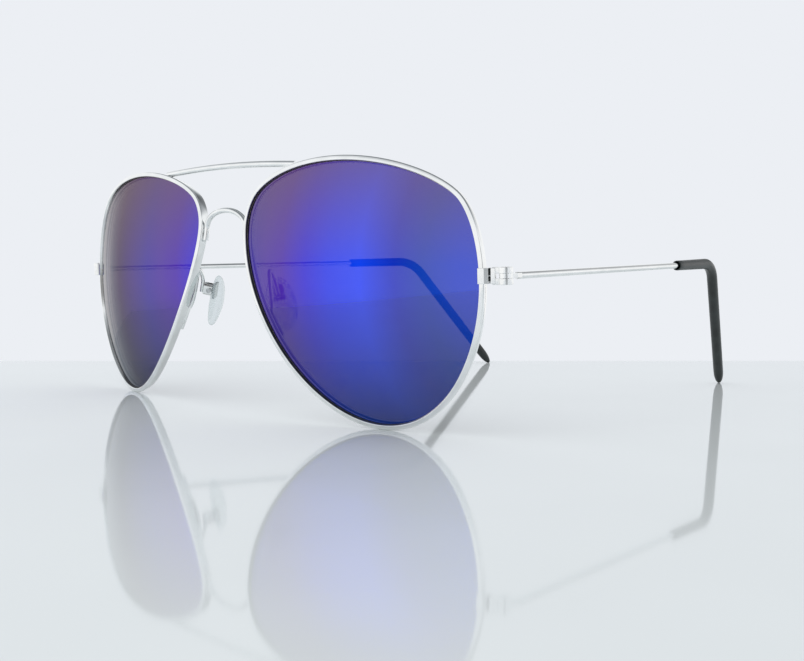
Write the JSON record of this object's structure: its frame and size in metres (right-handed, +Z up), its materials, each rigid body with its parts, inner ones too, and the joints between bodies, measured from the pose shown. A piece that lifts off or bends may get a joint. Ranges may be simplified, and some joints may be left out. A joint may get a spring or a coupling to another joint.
{
  "type": "aviator sunglasses",
  "caption": "Wire-framed aviator sunglasses with blue mirrored teardrop lenses, a brow bar over an arched bridge, hinged wire temples with black ear sleeves, and clear rocking nose pads.",
  "frame": {"origin": "middle of the footprint, on the table that the rims and sleeve ends stand on", "axes": "+X to the wearer's left, -Y the way the wearer looks, +Z up"},
  "size_m": [0.143, 0.127, 0.052],
  "materials": {
    "frame_metal": "polished silver plate",
    "screw_steel": "plain bright steel",
    "lens_tint": "blue to violet mirror coat over a brown tint",
    "sleeve_plastic": "black, half gloss",
    "pad_clear": "clear soft plastic"
  },
  "bodies": {
    "front": {"left_rim": "frame_metal", "right_rim": "frame_metal", "left_lens": "lens_tint", "right_lens": "lens_tint", "brow_bar": "frame_metal", "bridge": "frame_metal", "left_joint_plate": "frame_metal", "right_joint_plate": "frame_metal", "left_end_piece": "frame_metal", "right_end_piece": "frame_metal", "left_lock_upper": "frame_metal", "right_lock_upper": "frame_metal", "left_lock_lower": "frame_metal", "right_lock_lower": "frame_metal", "left_lock_screw": "screw_steel", "right_lock_screw": "screw_steel", "left_hinge_screw": "screw_steel", "right_hinge_screw": "screw_steel", "left_pad_arm": "frame_metal", "right_pad_arm": "frame_metal", "left_pad_box": "frame_metal", "right_pad_box": "frame_metal", "left_pad_screw": "screw_steel", "right_pad_screw": "screw_steel"},
    "left_temple": {"left_temple": "frame_metal", "left_sleeve": "sleeve_plastic"},
    "right_temple": {"right_temple": "frame_metal", "right_sleeve": "sleeve_plastic"},
    "left_nose_pad": {"left_nose_pad": "pad_clear", "left_pad_core": "screw_steel"},
    "right_nose_pad": {"right_nose_pad": "pad_clear", "right_pad_core": "screw_steel"}
  },
  "joints": [
    {"name": "left_temple_fold", "type": "hinge", "parent": "front", "child": "left_temple", "pos_m": [0.07018, -0.05154, 0.02917], "axis": [0, -0.0349, 0.9994], "range_deg": [-12, 75]},
    {"name": "right_temple_fold", "type": "hinge", "parent": "front", "child": "right_temple", "pos_m": [-0.07018, -0.05154, 0.02917], "axis": [0, 0.0349, -0.9994], "range_deg": [-12, 67]},
    {"name": "left_pad_rock", "type": "hinge", "parent": "front", "child": "left_nose_pad", "pos_m": [0.0122, -0.05704, 0.02528], "axis": [0.6113, 0.7586, 0.2252], "range_deg": [-8, 8]},
    {"name": "right_pad_rock", "type": "hinge", "parent": "front", "child": "right_nose_pad", "pos_m": [-0.0122, -0.05704, 0.02528], "axis": [0.6113, -0.7586, -0.2252], "range_deg": [-8, 8]}
  ]
}
